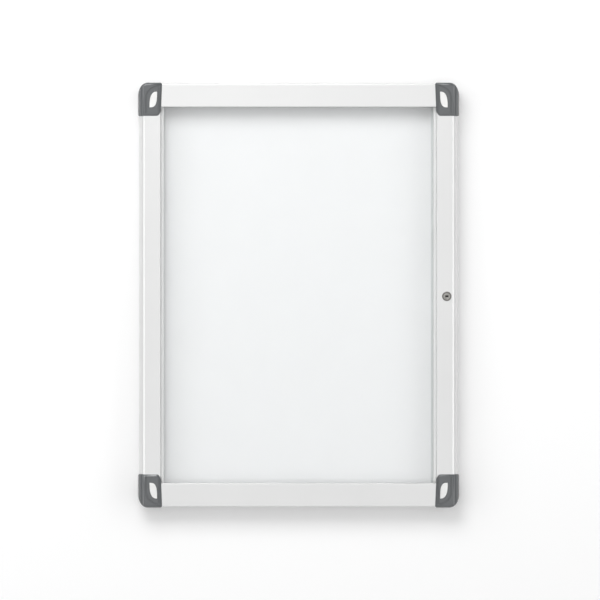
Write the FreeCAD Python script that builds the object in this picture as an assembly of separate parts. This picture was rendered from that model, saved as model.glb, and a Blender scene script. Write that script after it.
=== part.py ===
import FreeCAD, Part
import math
import os

# A glazed notice board that hangs on a wall: a shallow case with a white back panel, and a framed
# glazed door in front of it, hinged on the left and locked on the right.
# Millimetres. The origin is on the wall, in the middle of the four wall holes. X points right, Z up,
# and Y into the wall, so a depth in front of the wall is -Y.

# Whole board, over the corner caps
BOARD_WIDTH = 530.0
BOARD_HEIGHT = 700.0
DOOR_GAP = 2.0
DOOR_DEPTH = 22.0

# Door profiles: flat front, stiles with a convex outer side
STILE_WIDTH = 35.5
RAIL_WIDTH = 38.0
DOOR_WALL = 1.5
LIP_WIDTH = 4.7
SIDE_RADIUS = 16.4
SIDE_TURN = 66.2
RIDGE_ROUND = 1.6
RAIL_ROUND = 1.5
SIGHT_ROUND = 1.0

# Glazing
PANE_THICKNESS = 3.0
PANE_GRIP = 4.5
SLOT_LEVEL = 7.0
GASKET_WALL = 0.75
GASKET_SETBACK = 1.0
GLAZING_FIT = 0.05
PANE_SIDE_GAP = 0.3

# Corner caps: a hollow core between the profile ends, a skin over them and a spigot into each
CAP_BESIDE = 3.0
CAP_BELOW = 15.0
CAP_SKIN = 2.0
CAP_FRONT_SKIN = 1.6
CAP_OVERLAP = 7.0
CAP_DRAFT = 2.0
CAP_CLIP_WIDTH = 4.8
CAP_CLIP_HEIGHT = 6.8
CAP_CLIP_ROUND = 2.6
CAP_CLIP_STEPS = 4
CAP_INNER_ROUND = 4.2
CAP_OUTER_ROUND = 3.3
CAP_BEVEL = 3.2
CAP_BEVEL_DEPTH = 1.2
CAP_TOP_ROUND = 4.6
CAP_CORNER_WIDTH = 16.8
CAP_CORNER_HEIGHT = 23.4
CAP_CORE_WALL = 3.0
CAP_RIB = 1.6
SPIGOT_LENGTH = 30.0
SPIGOT_FIT = 0.25
CAP_FIT = 0.1

# Leaf inlay and the groove round it, places from the cap's outer top corner.
# Their curves run in short straight steps, because each is there four times.
LEAF_WIDTH = 13.4
LEAF_HEIGHT = 26.6
LEAF_FROM_SIDE = 20.0
LEAF_FROM_TOP = 14.2
LEAF_BEND = 16.0
LEAF_SLANT = 4.6
LEAF_DEPTH = 1.0
LEAF_PROUD = 0.2
LEAF_FIT = 0.12
LEAF_RIM = 1.1
LEAF_DISH = 0.35
CURVE_STEPS = 8
GROOVE_FROM_SIDE = 14.2
GROOVE_FROM_TOP = 5.1
GROOVE_BEND = 19.5
GROOVE_WIDTH = 1.0
GROOVE_DEPTH = 0.6
GROOVE_STOP = 4.0

# Case profiles: outer wall with a rear lip, a middle flange over the panel and a front flange.
# The lock side has a narrower lip and a short front flange, and a screwed strip for the middle one.
CASE_INSET = 9.0
CASE_WALL = 1.5
CASE_FLANGE = 1.2
REAR_LIP = 12.0
MIDDLE_FLANGE = 16.0
FRONT_FLANGE = 16.0
LOCK_LIP = 10.0
LOCK_FLANGE = 4.0
MIDDLE_LEVEL = 7.0

# Back panel
PANEL_SHEET = 0.6
PANEL_FIT = 0.1
PANEL_EDGE_GAP = 1.0

# Moulded corner blocks of the case, with the wall holes
BLOCK_SIZE = 28.0
BLOCK_WALL = 2.0
BLOCK_ROUND = 2.0
BLOCK_SPIGOT = 20.0
WALL_HOLE_RADIUS = 2.75
WALL_SINK_RADIUS = 5.2
WALL_SINK_DEPTH = 2.3
WALL_SINK_LEDGE = 0.4
WALL_BOSS_RADIUS = 7.0
WALL_BOSS_SIDES = 12
WALL_HOLE_INSET = 14.0

# Door seals
SEAL_WIDTH = 6.0
SEAL_THICKNESS = 1.7
SEAL_INSET = 5.0
LOCK_SEAL_WIDTH = 3.4

# Clamp strip over the panel's edge on the lock side
STRIP_SHOW = 3.9
STRIP_END_FIT = 0.1
STRIP_SCREWS = 4
STRIP_SCREW_INSET = 73.0
STRIP_SCREW_TIP = 0.2

# Strike plate behind the lock: a foot on the clamp strip, a web, and a catch for the cam
STRIKE_BEHIND_LIP = 1.2
STRIKE_WALL = 1.5
STRIKE_FOOT = 15.0
STRIKE_FOOT_HEIGHT = 80.0
STRIKE_CATCH = 9.0
STRIKE_CATCH_HEIGHT = 50.0
STRIKE_SCREW_SPACING = 64.0
STRIKE_SCREW_EDGE = 3.0

# Hinges
HINGE_HEIGHT = 60.0
HINGE_FROM_END = 111.0
KNUCKLES = 3
KNUCKLE_RADIUS = 2.9
KNUCKLE_SIDES = 20
KNUCKLE_GAP = 0.4
HINGE_CLEARANCE = 0.3
HINGE_PLATE = 1.3
HINGE_REACH = 23.0
HINGE_FROM_WALL = 2.3
PIN_RADIUS = 1.5
PIN_SIDES = 16
PIN_FIT = 0.05
PIN_HEAD_RADIUS = 2.5
PIN_HEAD_HEIGHT = 1.0

# Screws
SCREW_SIDES = 8
SCREW_RADIUS = 1.4
SCREW_HEAD_RADIUS = 2.6
SCREW_LENGTH = 9.0
SCREW_FIT = 0.05
HINGE_SCREW_OFFSET = 20.0
PAN_HEAD_HEIGHT = 1.6
PAN_TOP_RADIUS = 1.8

# Cam lock
LOCK_FROM_EDGE = 21.1
LOCK_HEIGHT = -2.0
LOCK_HEAD_RADIUS = 7.75
LOCK_HEAD_HEIGHT = 1.5
LOCK_HEAD_BEVEL = 0.75
LOCK_BODY_RADIUS = 6.0
LOCK_SIDES = 24
LOCK_CAM_GAP = 1.0
LOCK_HOLE_FIT = 0.1
LOCK_ACCESS_RADIUS = 10.5
NUT_FLATS = 16.0
NUT_HEIGHT = 4.0
PLUG_RADIUS = 4.6
PLUG_FACE_RADIUS = 5.6
PLUG_FACE_HEIGHT = 1.0
PLUG_FIT = 0.07
KEYWAY_WIDTH = 5.4
KEYWAY_HEIGHT = 1.9
KEYWAY_DEPTH = 18.0
TAIL_SIDE = 6.0
CAM_THICKNESS = 2.0
CAM_WIDTH = 9.0
CAM_TIP_GAP = 0.9
CAM_CLEARANCE = 0.8
CAM_SCREW_GAP = 0.7
CAM_SCREW_RADIUS = 1.75
CAM_SCREW_HEAD = 4.0
CAM_SCREW_LENGTH = 7.0

# Places worked out from the sizes above
flange_front = MIDDLE_LEVEL + CASE_FLANGE
cam_back = flange_front + STRIKE_WALL + CAM_SCREW_GAP + PAN_HEAD_HEIGHT
cam_front = cam_back + CAM_THICKNESS
strike_level = cam_front + CAM_CLEARANCE
case_front = strike_level + CASE_FLANGE
door_rear = case_front + DOOR_GAP
door_front = door_rear + DOOR_DEPTH
cap_front = door_front + CAP_FRONT_SKIN
cap_side = BOARD_WIDTH / 2
cap_top = BOARD_HEIGHT / 2
stile_outer = cap_side - CAP_SKIN
rail_outer = cap_top - CAP_SKIN
stile_sight = stile_outer - STILE_WIDTH
rail_sight = rail_outer - RAIL_WIDTH
lip_edge = stile_sight - LIP_WIDTH
side_centre = stile_outer - SIDE_RADIUS
side_level = door_front - SIDE_RADIUS * math.sin(math.radians(SIDE_TURN))
cap_inner = stile_sight - CAP_BESIDE
cap_bottom = rail_sight - CAP_BELOW
stile_end = rail_sight - CAP_FIT
rail_end = cap_inner + CAP_OVERLAP
slot_near = door_rear + SLOT_LEVEL
slot_far = slot_near + PANE_THICKNESS + 2 * (GASKET_WALL + 2 * GLAZING_FIT)
pane_near = slot_near + GASKET_WALL + 2 * GLAZING_FIT
pane_x = stile_sight + PANE_GRIP
pane_z = rail_sight + PANE_GRIP
slot_depth = PANE_GRIP + GASKET_WALL + PANE_SIDE_GAP + 2 * GLAZING_FIT
case_x = cap_side - CASE_INSET
case_z = cap_top - CASE_INSET
panel_x = case_x - CASE_WALL - PANEL_EDGE_GAP
panel_z = case_z - CASE_WALL - PANEL_EDGE_GAP
panel_back = CASE_FLANGE + PANEL_FIT
panel_front = MIDDLE_LEVEL - PANEL_FIT
block_x = case_x - BLOCK_SIZE
block_z = case_z - BLOCK_SIZE
strip_x = lip_edge - STRIP_SHOW
strip_half = block_z - STRIP_END_FIT
strip_screw_x = case_x - (CASE_WALL + LOCK_LIP) / 2
strike_x = lip_edge + STRIKE_BEHIND_LIP
hinge_x = -(case_x + KNUCKLE_RADIUS + HINGE_CLEARANCE)
hinge_depth = door_rear - KNUCKLE_RADIUS - HINGE_CLEARANCE
hinge_z = case_z - HINGE_FROM_END
lock_x = cap_side - LOCK_FROM_EDGE
cam_reach = lock_x - strike_x - STRIKE_WALL - CAM_TIP_GAP
lock_end = cam_front + LOCK_CAM_GAP
SPARE = 5.0


# Basic shapes
def at(x, depth, z):
    """Point at a depth in front of the wall."""
    return FreeCAD.Vector(x, -depth, z)


X_AXIS = FreeCAD.Vector(1, 0, 0)
Z_AXIS = FreeCAD.Vector(0, 0, 1)
TO_ROOM = at(0, 1, 0)
TO_WALL = at(0, -1, 0)


def block(x0, x1, depth0, depth1, z0, z1):
    """Box between two values of x, of the depth and of z."""
    return Part.makeBox(x1 - x0, depth1 - depth0, z1 - z0, at(x0, depth1, z0))


def rod(radius, start, direction, length):
    """Cylinder from a point along a direction."""
    return Part.makeCylinder(radius, length, start, direction)


def face_of(start, steps, place):
    """Face inside a closed run: a step of two numbers is a line, one of four bends through a middle."""
    edges = []
    here = place(*start)
    for step in list(steps) + [start]:
        there = place(*step[-2:])
        if len(step) == 4:
            edges.append(Part.Arc(here, place(*step[:2]), there).toShape())
        else:
            edges.append(Part.LineSegment(here, there).toShape())
        here = there
    return Part.Face(Part.Wire(edges))


def edges_along(shape, axis, points):
    """Edges of a shape that run along an axis through one of the points."""
    found = []
    for edge in shape.Edges:
        first, last = edge.Vertexes[0].Point, edge.Vertexes[-1].Point
        run = last - first
        if run.Length < 1 or abs(abs(run.normalize().dot(axis)) - 1) > 1e-6:
            continue
        for point in points:
            offset = first - point
            if (offset - axis * offset.dot(axis)).Length < 1e-3:
                found.append(edge)
    return found


def left_of(shape):
    """Mirror image across the board's upright middle plane."""
    return shape.mirror(at(0, 0, 0), X_AXIS)


def below_of(shape):
    """Mirror image across the board's level middle plane."""
    return shape.mirror(at(0, 0, 0), Z_AXIS)


def in_corner(shape, side, end):
    """Shape of the top right corner carried to another corner."""
    if side < 0:
        shape = left_of(shape)
    if end < 0:
        shape = below_of(shape)
    return shape


def ring(radius, centre, direction, sides):
    """Corners of a regular outline round an axis."""
    turn = FreeCAD.Rotation(Z_AXIS, direction)
    corners = []
    for i in range(sides):
        angle = 2 * math.pi * i / sides
        spoke = FreeCAD.Vector(radius * math.cos(angle), radius * math.sin(angle), 0)
        corners.append(centre + turn.multVec(spoke))
    return corners


def facet_of(corners):
    """Flat face with the given corners."""
    return Part.Face(Part.makePolygon(corners + corners[:1]))


def faceted(stations, point, direction, sides=SCREW_SIDES):
    """Solid with flat sides round an axis, through stations of distance and radius."""
    rings = [ring(radius, point + direction * far, direction, sides) for far, radius in stations]
    faces = [facet_of(rings[0][::-1]), facet_of(rings[-1])]
    for near, far in zip(rings, rings[1:]):
        for i in range(sides):
            faces.append(facet_of([near[i - 1], near[i], far[i], far[i - 1]]))
    solid = Part.makeSolid(Part.makeShell(faces))
    return solid if solid.Volume > 0 else solid.reversed()


def countersunk(point, direction, length, grow=0.0):
    """Countersunk screw: its head's flat face is at the point and its shank follows the direction."""
    radius = SCREW_RADIUS + grow
    head = SCREW_HEAD_RADIUS + grow
    neck = SCREW_HEAD_RADIUS - SCREW_RADIUS
    return faceted([(0, head), (neck, radius), (length, radius)], point, direction)


def pan_head(point, direction, length):
    """Pan head screw: the underside of its head is at the point."""
    head = [(-PAN_HEAD_HEIGHT, PAN_TOP_RADIUS), (0, SCREW_HEAD_RADIUS)]
    shank = [(0, SCREW_RADIUS), (length, SCREW_RADIUS)]
    return faceted(head + shank, point, direction)


def pan_head_hole(point, direction, length):
    """Clearance hole for a pan head screw's shank, open at both ends."""
    radius = SCREW_RADIUS + SCREW_FIT
    return faceted([(-SPARE, radius), (length + SPARE, radius)], point, direction)


def quarter_points(centre, wide, high):
    """Points along a quarter of an ellipse, from its side round to its top."""
    points = []
    for i in range(CURVE_STEPS + 1):
        angle = math.pi / 2 * i / CURVE_STEPS
        points.append((centre[0] + wide * math.cos(angle), centre[1] + high * math.sin(angle)))
    return points


def bend_points(start, corner, end, steps):
    """Points along a bend from the start to the end that leans towards the corner between them."""
    points = []
    for i in range(steps + 1):
        t = i / steps
        points.append(start * (1 - t) ** 2 + corner * (2 * t * (1 - t)) + end * t**2)
    return points


def oval_steps(centre, wide, high):
    """Quarter turn of two arcs that meet smoothly, from the side of an oval round to its top."""
    lean = (high - wide) * math.hypot(wide, high)
    side_radius = (wide**2 + high**2 + lean) / (2 * wide)
    top_radius = (wide**2 + high**2 - lean) / (2 * high)
    side_x = centre[0] + wide - side_radius
    top_z = centre[1] + high - top_radius
    turn = math.atan2(abs(high - top_radius), abs(side_radius - wide))
    half = (turn + math.pi / 2) / 2
    side_middle = (side_x + side_radius * math.cos(turn / 2), centre[1] + side_radius * math.sin(turn / 2))
    meet = (side_x + side_radius * math.cos(turn), centre[1] + side_radius * math.sin(turn))
    top_middle = (centre[0] + top_radius * math.cos(half), top_z + top_radius * math.sin(half))
    return [side_middle + meet, top_middle + (centre[0], centre[1] + high)]


# Door profiles
def stile_bar(grow, z0, z1):
    """Length of the right stile's outer form, grown outwards all round."""
    front = door_front + grow
    rear = door_rear - grow
    radius = SIDE_RADIUS + grow
    lip_top = slot_near + min(grow, 0)
    turn = math.asin((front - side_level) / radius)
    middle = (side_centre + radius * math.cos(turn / 2), side_level + radius * math.sin(turn / 2))
    ridge = (side_centre + radius * math.cos(turn), front)
    outer = stile_outer + grow
    steps = [
        (lip_edge - grow, lip_top),
        (lip_edge - grow, rear),
        (outer, rear),
        (outer, side_level),
        middle + ridge,
        (stile_sight - grow, front),
    ]
    face = face_of((stile_sight - grow, lip_top), steps, lambda x, depth: at(x, depth, z0))
    return face.extrude(at(0, 0, z1 - z0))


def rail_bar(grow, x0, x1):
    """Length of the top rail's outer form, grown outwards all round."""
    return block(x0, x1, door_rear - grow, door_front + grow, rail_sight - grow, rail_outer + grow)


def stile_slot(grow, z0, z1):
    """Glazing slot of the right stile, with walls of a given thickness round it."""
    reach = stile_sight + slot_depth + grow
    return block(lip_edge - SPARE, reach, slot_near - grow, slot_far + grow, z0, z1)


def rail_slot(grow, x0, x1):
    """Glazing slot of the top rail, with walls of a given thickness round it."""
    reach = rail_sight + slot_depth + grow
    return block(x0, x1, slot_near - grow, slot_far + grow, rail_sight - SPARE, reach)


def stile_profile():
    """Right stile as extruded: hollow, slotted, with its front edges rounded."""
    bar = stile_bar(0, -stile_end, stile_end)
    ridge_x = side_centre + math.sqrt(SIDE_RADIUS**2 - (door_front - side_level) ** 2)
    bar = bar.makeFillet(RIDGE_ROUND, edges_along(bar, Z_AXIS, [at(ridge_x, door_front, 0)]))
    bar = bar.makeFillet(SIGHT_ROUND, edges_along(bar, Z_AXIS, [at(stile_sight, door_front, 0)]))
    hollow = stile_bar(-DOOR_WALL, -stile_end - SPARE, stile_end + SPARE)
    hollow = hollow.cut(stile_slot(DOOR_WALL, -cap_top, cap_top))
    return bar.cut([hollow, stile_slot(0, -cap_top, cap_top)])


def rail_profile():
    """Top rail as extruded: hollow, slotted, with its front edges rounded."""
    bar = rail_bar(0, -rail_end, rail_end)
    bar = bar.makeFillet(RAIL_ROUND, edges_along(bar, X_AXIS, [at(0, door_front, rail_outer)]))
    bar = bar.makeFillet(SIGHT_ROUND, edges_along(bar, X_AXIS, [at(0, door_front, rail_sight)]))
    hollow = rail_bar(-DOOR_WALL, -rail_end - SPARE, rail_end + SPARE)
    hollow = hollow.cut(rail_slot(DOOR_WALL, -cap_side, cap_side))
    return bar.cut([hollow, rail_slot(0, -cap_side, cap_side)])


def stile_screw_point():
    """Place on the rear of the right stile of the screw into the top cap's spigot."""
    return at((stile_sight + stile_outer) / 2 + LIP_WIDTH, door_rear, stile_end - SPIGOT_LENGTH / 2)


def rail_screw_point():
    """Place on the rear of the top rail of the screw into the right cap's spigot."""
    return at(rail_end - SPIGOT_LENGTH / 2, door_rear, (rail_sight + rail_outer) / 2 + LIP_WIDTH)


def door_corner_holes():
    """Screws of the top right corner of the door, grown to their holes."""
    points = [stile_screw_point(), rail_screw_point()]
    return [countersunk(point, TO_ROOM, SCREW_LENGTH, SCREW_FIT) for point in points]


def stile(side):
    """Door stile: the right one has the lock's holes, the left one the hinge screws' holes."""
    bar = stile_profile()
    holes = door_corner_holes()
    bar = bar.cut(holes + [below_of(hole) for hole in holes])
    if side > 0:
        centre = at(lock_x, door_rear + DOOR_WALL, LOCK_HEIGHT)
        front_hole = rod(LOCK_BODY_RADIUS + LOCK_HOLE_FIT, centre, TO_ROOM, DOOR_DEPTH)
        access_hole = rod(LOCK_ACCESS_RADIUS, centre, TO_WALL, DOOR_WALL + SPARE)
        return bar.cut([front_hole, access_hole])
    bar = left_of(bar)
    return bar.cut([door_leaf_screw(point, SCREW_FIT) for point in door_leaf_screw_points()])


def rail(end):
    """Door rail at the top or the bottom."""
    bar = rail_profile()
    holes = door_corner_holes()
    bar = bar.cut(holes + [left_of(hole) for hole in holes])
    return bar if end > 0 else below_of(bar)


# Corner caps
def cap_side_form():
    """Cap's section across the stile, carried up: upright at the rear, then convex to the ridge."""
    radius = SIDE_RADIUS + CAP_SKIN
    turn = math.asin((cap_front - side_level) / radius)
    middle = (side_centre + radius * math.cos(turn / 2), side_level + radius * math.sin(turn / 2))
    ridge = (side_centre + radius * math.cos(turn), cap_front)
    steps = [(cap_side, door_rear), (cap_side, side_level), middle + ridge, (lip_edge, cap_front)]
    face = face_of((lip_edge, door_rear), steps, lambda x, depth: at(x, depth, cap_bottom))
    form = face.extrude(at(0, 0, cap_top - cap_bottom))
    return form.makeFillet(RIDGE_ROUND, edges_along(form, Z_AXIS, [at(*ridge, 0)]))


def cap_corner_steps(inset):
    """Outer corner of the cap's outline, drawn in by an inset."""
    centre = (cap_side - CAP_CORNER_WIDTH, cap_top - CAP_CORNER_HEIGHT)
    return oval_steps(centre, CAP_CORNER_WIDTH - inset, CAP_CORNER_HEIGHT - inset)


def cap_front_form():
    """Cap's outline seen from the front, carried out from the rear and rounded over at its front edge."""
    steps = [(cap_side, cap_bottom), (cap_side, cap_top - CAP_CORNER_HEIGHT)]
    steps += cap_corner_steps(0) + [(lip_edge, cap_top)]
    face = face_of((lip_edge, cap_bottom), steps, lambda x, z: at(x, door_rear, z))
    form = face.extrude(at(0, cap_front - door_rear, 0))
    inside = at(lip_edge, cap_front, cap_bottom)
    rim = []
    for edge in form.Edges:
        middle = edge.CenterOfMass
        if abs(middle.y + cap_front) < 1e-6 and min(middle.x - inside.x, middle.z - inside.z) > 1:
            rim.append(edge)
    return form.makeFillet(CAP_TOP_ROUND, rim)


def cap_outline(bevel, depth):
    """Cap's outline seen from the front, its inner edges drawn back by a bevel, open at the outside."""
    low_x = cap_inner + CAP_DRAFT
    clip_x = low_x + CAP_CLIP_WIDTH
    far = cap_side + SPARE
    points = [
        at(cap_inner + bevel, depth, cap_top + SPARE),
        at(low_x + bevel, depth, cap_bottom + CAP_CLIP_HEIGHT + bevel / 2),
        at(clip_x + bevel / 2, depth, cap_bottom + bevel),
        at(far, depth, cap_bottom + bevel),
        at(far, depth, cap_top + SPARE),
    ]
    run = points[:1]
    for before, corner, after in zip(points, points[1:3], points[2:]):
        back = corner + (before - corner).normalize() * CAP_CLIP_ROUND
        ahead = corner + (after - corner).normalize() * CAP_CLIP_ROUND
        run += bend_points(back, corner, ahead, CAP_CLIP_STEPS)
    return Part.makePolygon(run + points[3:] + points[:1])


def cap_skin_limit():
    """What the cap's skin keeps to: its sloping inner edge, with a bevel round it at the front."""
    start = cap_front - CAP_BEVEL_DEPTH
    body = Part.Face(cap_outline(0, door_front)).extrude(at(0, start - door_front, 0))
    bevel = Part.makeLoft([cap_outline(0, start), cap_outline(CAP_BEVEL, cap_front)], True, True)
    return body.fuse(bevel)


def leaf_face(grow, depth):
    """Leaf outline: two sharp tips, and two bends that run slanting into them."""
    left = cap_side - LEAF_FROM_SIDE - LEAF_WIDTH - grow
    right = cap_side - LEAF_FROM_SIDE + grow
    top = cap_top - LEAF_FROM_TOP + grow
    bottom = top - LEAF_HEIGHT - 2 * grow
    corners = [
        (right, top - LEAF_BEND),
        (right, top - LEAF_SLANT),
        (left, top),
        (left, bottom + LEAF_BEND),
        (left, bottom + LEAF_SLANT),
        (right, bottom),
    ]
    points = [at(x, depth, z) for x, z in corners]
    return facet_of(bend_points(*points[:3], CURVE_STEPS) + bend_points(*points[3:], CURVE_STEPS))


def leaf(grow, depth0, depth1):
    """Leaf-shaped plate between two depths."""
    return leaf_face(grow, depth0).extrude(at(0, depth1 - depth0, 0))


def cap_groove():
    """Fine groove: down beside the ridge, and bent over the leaf to the inner edge."""
    side = cap_side - GROOVE_FROM_SIDE
    top = cap_top - GROOVE_FROM_TOP
    low = cap_front - GROOVE_DEPTH
    centre = (cap_inner, top - GROOVE_BEND)
    ovals = []
    for half in (GROOVE_WIDTH / 2, -GROOVE_WIDTH / 2):
        run = [centre] + quarter_points(centre, side - cap_inner + half, GROOVE_BEND + half)
        ovals.append(facet_of([at(x, low, z) for x, z in run]).extrude(at(0, GROOVE_DEPTH + SPARE, 0)))
    bend = ovals[0].cut(ovals[1])
    near, far = side - GROOVE_WIDTH / 2, side + GROOVE_WIDTH / 2
    return bend.fuse(block(near, far, low, cap_front + SPARE, cap_bottom + GROOVE_STOP, centre[1]))


def cap_spigots():
    """Plugs from the cap's core into the hollow stile and rail."""
    grow = -(DOOR_WALL + SPIGOT_FIT)
    far_x = stile_sight + slot_depth - grow
    far_z = rail_sight + slot_depth - grow
    down = stile_bar(grow, stile_end - SPIGOT_LENGTH, stile_end)
    down = down.common(block(far_x, cap_side, 0, cap_front, 0, cap_top))
    across = rail_bar(grow, rail_end - SPIGOT_LENGTH, rail_end)
    across = across.common(block(0, cap_side, 0, cap_front, far_z, cap_top))
    return [down, across]


def cap_tip(x, z, into_x, into_z, radius):
    """What rounding takes off a tip of the cap's outline."""
    round_x = x + into_x * radius
    round_z = z + into_z * radius
    across = sorted([x - into_x * SPARE, round_x])
    up = sorted([z - into_z * SPARE, round_z])
    corner = block(*across, 0, cap_front + SPARE, *up)
    return corner.cut(rod(radius, at(round_x, 0, round_z), TO_ROOM, cap_front + SPARE))


def cap_pockets():
    """Hollows in the rear of the cap's core, with a cross of ribs left between them."""
    wall = CAP_CORE_WALL
    low_x, low_z = rail_end + wall, stile_end + wall
    steps = [(cap_side - wall, low_z), (cap_side - wall, cap_top - CAP_CORNER_HEIGHT)]
    steps += cap_corner_steps(wall) + [(low_x, cap_top - wall)]
    outline = face_of((low_x, low_z), steps, lambda x, z: at(x, 0, z))
    skin = stile_bar(CAP_SKIN - wall, cap_bottom, cap_top)
    way_in = block(low_x, cap_side, 0, side_level, cap_bottom, cap_top)
    room = outline.extrude(at(0, cap_front, 0)).common(skin.fuse(way_in))
    rib_x = (rail_end + cap_side) / 2
    rib_z = (stile_end + cap_top) / 2
    half = CAP_RIB / 2
    upright = block(rib_x - half, rib_x + half, 0, cap_front, 0, cap_top)
    level = block(0, cap_side, 0, cap_front, rib_z - half, rib_z + half)
    return room.cut([upright, level])


def corner_cap():
    """Moulded cap of the door's top right corner."""
    seat = door_front + CAP_FIT
    behind_skin = block(0, cap_side + SPARE, 0, door_front, 0, cap_top + SPARE)
    shape = cap_side_form().common(cap_front_form()).common(cap_skin_limit().fuse(behind_skin))
    pane_room_x = pane_x + PANE_SIDE_GAP
    pane_room_z = pane_z + PANE_SIDE_GAP
    shape = shape.cut(
        [
            stile_bar(CAP_FIT, cap_bottom - SPARE, stile_end),
            rail_bar(CAP_FIT, lip_edge - SPARE, rail_end),
            block(0, stile_sight, 0, seat, 0, stile_end),
            block(0, stile_sight, slot_near, seat, 0, rail_sight),
            block(0, pane_room_x, slot_near, slot_far, 0, pane_room_z),
            cap_tip(cap_inner, cap_top, 1, -1, CAP_INNER_ROUND),
            cap_tip(cap_side, cap_bottom, -1, 1, CAP_OUTER_ROUND),
            cap_pockets(),
        ]
    )
    shape = shape.fuse(cap_spigots())
    shape = shape.cut([leaf(LEAF_FIT, cap_front - LEAF_DEPTH, cap_front + SPARE), cap_groove()])
    return shape.cut(door_corner_holes()).removeSplitter()


def leaf_inlay():
    """Light inlay set in the cap's leaf-shaped pocket, with a raised rim round its face."""
    face = cap_front + LEAF_PROUD
    plate = leaf(0, cap_front - LEAF_DEPTH, face)
    return plate.cut(leaf(-LEAF_RIM, face - LEAF_DISH, face + SPARE))


# Glazing
def pane():
    """Clear pane, held in the slots of the four profiles."""
    return block(-pane_x, pane_x, pane_near, pane_near + PANE_THICKNESS, -pane_z, pane_z)


def gasket_section(sight, place):
    """Channel-shaped section of a gasket, open towards the middle of the pane."""
    inner = sight + GASKET_SETBACK
    root = sight + PANE_GRIP + GLAZING_FIT
    outer = root + GASKET_WALL
    near = slot_near + GLAZING_FIT
    far = slot_far - GLAZING_FIT
    steps = [
        (outer, near),
        (outer, far),
        (inner, far),
        (inner, far - GASKET_WALL),
        (root, far - GASKET_WALL),
        (root, near + GASKET_WALL),
        (inner, near + GASKET_WALL),
    ]
    return face_of((inner, near), steps, place)


def side_gasket():
    """Gasket between the pane and the right stile."""
    half = stile_end
    face = gasket_section(stile_sight, lambda u, depth: at(u, depth, -half))
    return face.extrude(at(0, 0, 2 * half))


def end_gasket():
    """Gasket between the pane and the top rail."""
    half = rail_end
    face = gasket_section(rail_sight, lambda u, depth: at(-half, depth, u))
    return face.extrude(at(2 * half, 0, 0))


# Case
def case_channel(place, run):
    """Case profile: its section counts inwards from the outer face, and is carried along a run."""
    front = case_front - CASE_FLANGE
    steps = [
        (0, case_front),
        (FRONT_FLANGE, case_front),
        (FRONT_FLANGE, front),
        (CASE_WALL, front),
        (CASE_WALL, flange_front),
        (MIDDLE_FLANGE, flange_front),
        (MIDDLE_FLANGE, MIDDLE_LEVEL),
        (CASE_WALL, MIDDLE_LEVEL),
        (CASE_WALL, CASE_FLANGE),
        (REAR_LIP, CASE_FLANGE),
        (REAR_LIP, 0),
    ]
    return face_of((0, 0), steps, place).extrude(run)


def case_end():
    """Level case profile at the top, between the corner blocks."""
    place = lambda u, depth: at(-block_x, depth, case_z - u)
    return case_channel(place, at(2 * block_x, 0, 0))


def case_profile_right():
    """Case profile on the lock side, with room for the cam beside its short front flange."""
    front = case_front - CASE_FLANGE
    steps = [
        (0, case_front),
        (LOCK_FLANGE, case_front),
        (LOCK_FLANGE, front),
        (CASE_WALL, front),
        (CASE_WALL, CASE_FLANGE),
        (LOCK_LIP, CASE_FLANGE),
        (LOCK_LIP, 0),
    ]
    face = face_of((0, 0), steps, lambda u, depth: at(case_x - u, depth, -block_z))
    return face.extrude(at(0, 0, 2 * block_z)).cut(strip_screw_holes())


def case_profile_left():
    """Case profile on the hinge side."""
    place = lambda u, depth: at(u - case_x, depth, -block_z)
    holes = [case_leaf_screw(point, SCREW_FIT) for point in case_leaf_screw_points()]
    return case_channel(place, at(0, 0, 2 * block_z)).cut(holes)


def case_block():
    """Moulded block of the case's top right corner, hollow behind, with a boss round the wall hole."""
    body = block(block_x, case_x, 0, case_front, block_z, case_z)
    body = body.makeFillet(BLOCK_ROUND, edges_along(body, TO_ROOM, [at(case_x, 0, case_z)]))
    low_x, low_z = block_x + BLOCK_WALL, block_z + BLOCK_WALL
    high_x, high_z = case_x - BLOCK_WALL, case_z - BLOCK_WALL
    hollow = block(low_x, high_x, -SPARE, case_front - BLOCK_WALL, low_z, high_z)
    point = at(case_x - WALL_HOLE_INSET, 0, case_z - WALL_HOLE_INSET)
    boss = [(0, WALL_BOSS_RADIUS), (case_front - BLOCK_WALL / 2, WALL_BOSS_RADIUS)]
    body = body.cut(hollow).fuse(faceted(boss, point, TO_ROOM, WALL_BOSS_SIDES))
    hole = rod(WALL_HOLE_RADIUS, point, TO_ROOM, case_front)
    floor = case_front - WALL_SINK_DEPTH
    sink = [(floor, WALL_HOLE_RADIUS + WALL_SINK_LEDGE), (case_front, WALL_SINK_RADIUS)]
    sink = faceted(sink, point, TO_ROOM, WALL_BOSS_SIDES)
    return body.fuse(block_spigots()).cut([hole, sink]).removeSplitter()


def block_spigots():
    """Plugs from the corner block into the case profiles, between their middle and front flanges."""
    depth0 = flange_front + SPIGOT_FIT
    depth1 = case_front - CASE_FLANGE - SPIGOT_FIT
    near = FRONT_FLANGE - SPIGOT_FIT
    far = CASE_WALL + SPIGOT_FIT
    reach = BLOCK_SIZE + BLOCK_SPIGOT
    root = BLOCK_SIZE - BLOCK_WALL
    down = block(case_x - near, case_x - far, depth0, depth1, case_z - reach, case_z - root)
    across = block(case_x - reach, case_x - root, depth0, depth1, case_z - near, case_z - far)
    return [down, across]


def panel_sheet(depth0, depth1):
    """Layer of the back panel, notched at its corners for the blocks."""
    sheet = block(-panel_x, panel_x, depth0, depth1, -panel_z, panel_z)
    low_x, low_z = block_x - PANEL_EDGE_GAP, block_z - PANEL_EDGE_GAP
    notch = block(low_x, case_x, 0, case_front, low_z, case_z)
    notches = [in_corner(notch, side, end) for side in (1, -1) for end in (1, -1)]
    return sheet.cut(notches + strip_screw_holes())


def end_seal():
    """Door seal on the front flange at the top."""
    outer = case_z - SEAL_INSET
    return block(-block_x, block_x, case_front, case_front + SEAL_THICKNESS, outer - SEAL_WIDTH, outer)


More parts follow.
